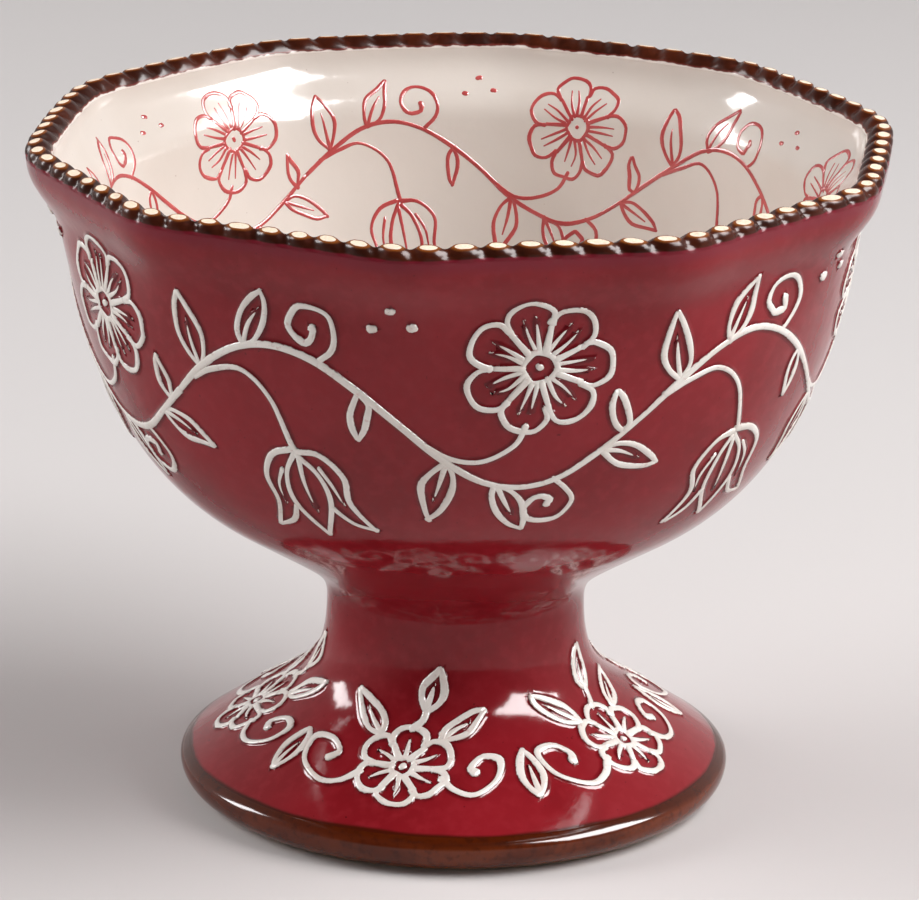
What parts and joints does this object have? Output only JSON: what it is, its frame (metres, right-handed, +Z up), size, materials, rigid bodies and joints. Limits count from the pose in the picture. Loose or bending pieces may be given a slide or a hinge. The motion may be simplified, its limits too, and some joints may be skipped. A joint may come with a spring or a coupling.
{
  "type": "footed bowl",
  "caption": "Round serving bowl on a hollow flared foot, with a softly lobed lip, a rope edge and raised line decoration.",
  "frame": {"origin": "centre of the standing ring, on the plane the bowl stands on", "axes": "+Z up along the bowl's axis; the pictured side faces -Y"},
  "size_m": [0.1436, 0.1444, 0.1147],
  "materials": {
    "red_glaze": "glossy wine-red glaze over raised line decoration",
    "brown_glaze": "glossy dark brown glaze, amber where it is thin",
    "ivory_glaze": "glossy ivory glaze",
    "white_relief": "satin white raised lines, wiped clean of red glaze",
    "bare_clay": "unglazed fired slip"
  },
  "bodies": {
    "root": {"foot_edge": "brown_glaze", "pedestal": "red_glaze", "joint_slip": "bare_clay", "bowl": "red_glaze", "rim_rope": "brown_glaze"}
  },
  "joints": []
}
